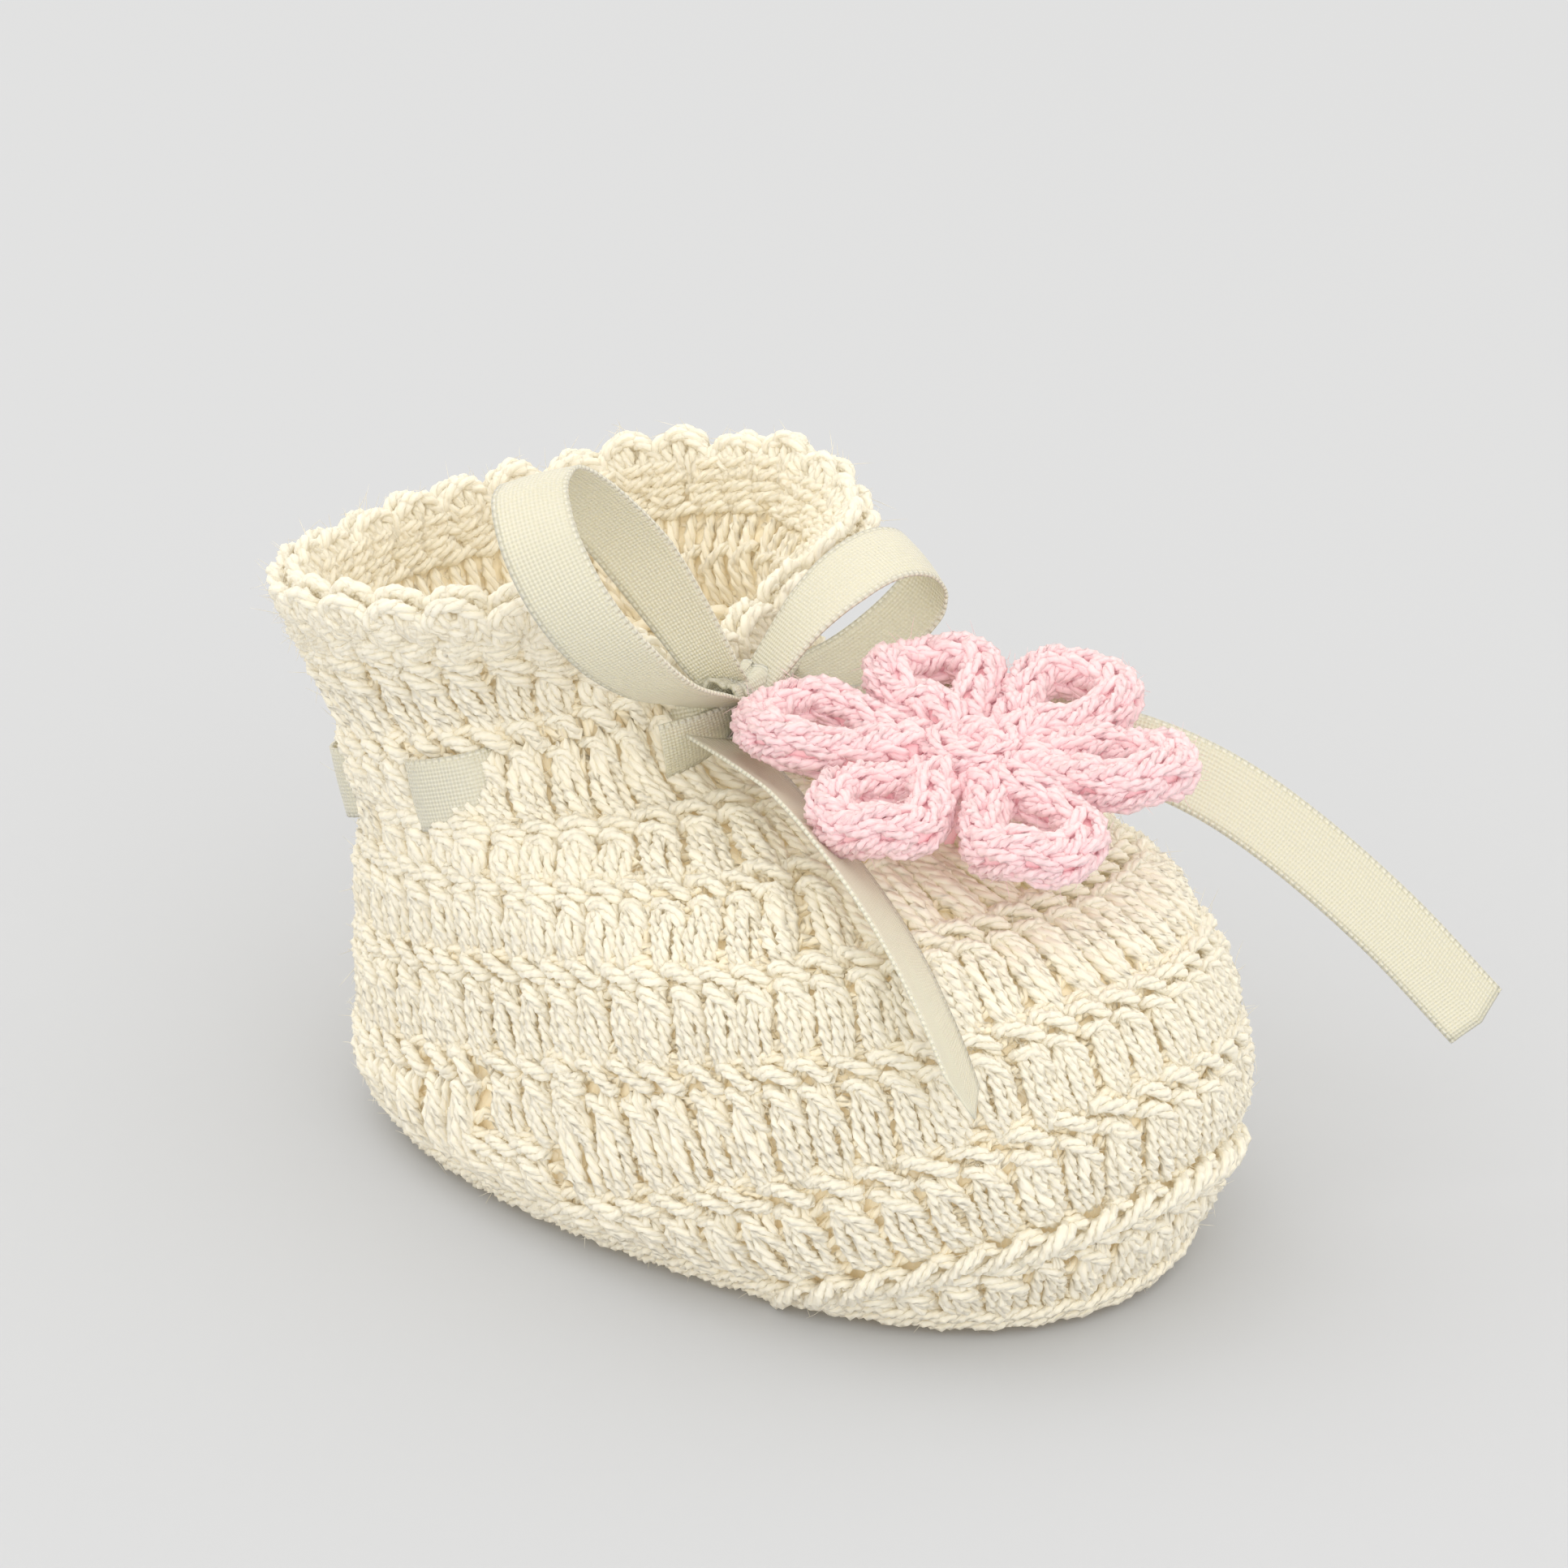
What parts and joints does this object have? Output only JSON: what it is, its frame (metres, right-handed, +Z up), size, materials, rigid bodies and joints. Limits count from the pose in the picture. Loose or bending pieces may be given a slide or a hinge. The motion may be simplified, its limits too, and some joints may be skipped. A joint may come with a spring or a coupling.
{
  "type": "crocheted baby bootie",
  "caption": "Soft crocheted newborn bootie with a drawn satin ribbon and bow at the ankle, a flared scalloped cuff and a looped flower on the instep.",
  "frame": {"origin": "centre of the bootie's plan extent at floor level, without the loose ribbon ends", "axes": "+Z up from the floor, -Y towards the toe, +X to the wearer's left"},
  "size_m": [0.0711, 0.098, 0.0663],
  "materials": {
    "cream_yarn": "matt soft cotton yarn, double crochet",
    "pink_yarn": "matt soft cotton yarn",
    "satin_ribbon": "satin weave with corded selvedge"
  },
  "bodies": {
    "bootie": {"sole": "cream_yarn", "sole_ridge": "cream_yarn", "wall_round_1": "cream_yarn", "wall_round_2": "cream_yarn", "wall_round_3": "cream_yarn", "instep_round": "cream_yarn", "eyelet_round": "cream_yarn", "cuff_round": "cream_yarn", "cuff_top_round": "cream_yarn", "scallop_edging": "cream_yarn", "ribbon_band": "satin_ribbon", "bow_knot": "satin_ribbon", "ribbon_tail_left": "satin_ribbon", "ribbon_tail_right": "satin_ribbon", "flower_stitches": "pink_yarn"},
    "flower": {"flower_centre": "pink_yarn"},
    "petal_1": {"petal_1": "pink_yarn"},
    "petal_2": {"petal_2": "pink_yarn"},
    "petal_3": {"petal_3": "pink_yarn"},
    "petal_4": {"petal_4": "pink_yarn"},
    "petal_5": {"petal_5": "pink_yarn"},
    "petal_6": {"petal_6": "pink_yarn"},
    "bow_loop_left": {"bow_loop_left": "satin_ribbon"},
    "bow_loop_right": {"bow_loop_right": "satin_ribbon"}
  },
  "joints": [
    {"name": "flower_tilt", "type": "hinge", "parent": "bootie", "child": "flower", "pos_m": [0.002, -0.01875, 0.0385], "axis": [-1, 0, 0], "range_deg": [-3, 6], "stiffness_Nm_per_rad": 0.02},
    {"name": "petal_1_bend", "type": "hinge", "parent": "flower", "child": "petal_1", "pos_m": [-0.00024, -0.01827, 0.04247], "axis": [0.866, 0.5, 0], "range_deg": [-4, 10], "stiffness_Nm_per_rad": 0.004},
    {"name": "petal_2_bend", "type": "hinge", "parent": "flower", "child": "petal_2", "pos_m": [0.00418, -0.01837, 0.04309], "axis": [0.866, -0.5, 0], "range_deg": [-4, 10], "stiffness_Nm_per_rad": 0.004},
    {"name": "petal_3_bend", "type": "hinge", "parent": "flower", "child": "petal_3", "pos_m": [0.00643, -0.02223, 0.04278], "axis": [-0.0175, -0.9998, 0], "range_deg": [-4, 10], "stiffness_Nm_per_rad": 0.004},
    {"name": "petal_4_bend", "type": "hinge", "parent": "flower", "child": "petal_4", "pos_m": [0.00451, -0.02588, 0.04216], "axis": [-0.829, -0.5592, 0], "range_deg": [-4, 10], "stiffness_Nm_per_rad": 0.004},
    {"name": "petal_5_bend", "type": "hinge", "parent": "flower", "child": "petal_5", "pos_m": [0.00025, -0.02627, 0.04153], "axis": [-0.9205, 0.3907, 0], "range_deg": [-4, 10], "stiffness_Nm_per_rad": 0.004},
    {"name": "petal_6_bend", "type": "hinge", "parent": "flower", "child": "petal_6", "pos_m": [-0.00248, -0.02246, 0.04176], "axis": [-0.0698, 0.9976, 0], "range_deg": [-4, 10], "stiffness_Nm_per_rad": 0.004},
    {"name": "bow_loop_left_flop", "type": "hinge", "parent": "bootie", "child": "bow_loop_left", "pos_m": [-0.00021, -0.00081, 0.04336], "axis": [-0.1684, -0.9857, 0], "range_deg": [-3, 8], "stiffness_Nm_per_rad": 0.002},
    {"name": "bow_loop_right_flop", "type": "hinge", "parent": "bootie", "child": "bow_loop_right", "pos_m": [-0.00585, 0.00011, 0.04471], "axis": [0.1516, 0.9884, 0], "range_deg": [-3, 8], "stiffness_Nm_per_rad": 0.002}
  ]
}
